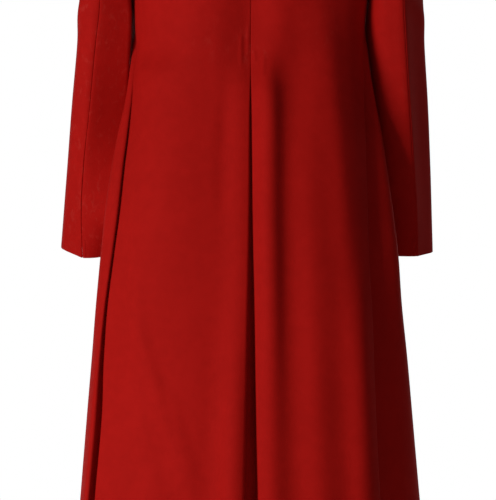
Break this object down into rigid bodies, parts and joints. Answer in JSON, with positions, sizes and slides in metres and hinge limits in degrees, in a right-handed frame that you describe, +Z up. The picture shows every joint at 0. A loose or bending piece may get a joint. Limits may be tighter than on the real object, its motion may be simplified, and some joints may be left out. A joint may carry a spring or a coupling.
{
  "type": "cassock",
  "caption": "Full-length worn cassock with fitted body, set-in two-piece sleeves, standing collar, inverted centre back pleat and side pleats.",
  "frame": {"origin": "on the body's centre line, level with the points where the shoulder seams meet the neck, where the wearer's shoulders hold it", "axes": "+Z up; the wearer faces -Y, so the back is towards +Y; +X is the wearer's left"},
  "size_m": [0.5749, 0.4683, 1.4766],
  "materials": {
    "back_left_cloth": "matte scarlet worsted",
    "back_right_cloth": "matte scarlet worsted",
    "back_pleat_underlay_cloth": "matte scarlet worsted",
    "front_left_cloth": "matte scarlet worsted",
    "front_right_cloth": "matte scarlet worsted",
    "upper_sleeve_left_cloth": "matte scarlet worsted",
    "under_sleeve_left_cloth": "matte scarlet worsted",
    "upper_sleeve_right_cloth": "matte scarlet worsted",
    "under_sleeve_right_cloth": "matte scarlet worsted",
    "collar_cloth": "matte scarlet worsted",
    "button_cloth": "cloth-covered, matte"
  },
  "bodies": {
    "root": {"back_left": "back_left_cloth", "back_right": "back_right_cloth", "back_pleat_underlay": "back_pleat_underlay_cloth", "front_left": "front_left_cloth", "front_right": "front_right_cloth", "upper_sleeve_left": "upper_sleeve_left_cloth", "under_sleeve_left": "under_sleeve_left_cloth", "upper_sleeve_right": "upper_sleeve_right_cloth", "under_sleeve_right": "under_sleeve_right_cloth", "collar": "collar_cloth", "button_01": "button_cloth", "button_02": "button_cloth", "button_03": "button_cloth", "button_04": "button_cloth", "button_05": "button_cloth", "button_06": "button_cloth", "button_07": "button_cloth", "button_08": "button_cloth", "button_09": "button_cloth", "button_10": "button_cloth", "button_11": "button_cloth", "button_12": "button_cloth", "button_13": "button_cloth", "button_14": "button_cloth", "button_15": "button_cloth", "button_16": "button_cloth", "button_17": "button_cloth", "button_18": "button_cloth", "button_19": "button_cloth", "button_20": "button_cloth", "button_21": "button_cloth", "button_22": "button_cloth"}
  },
  "joints": []
}
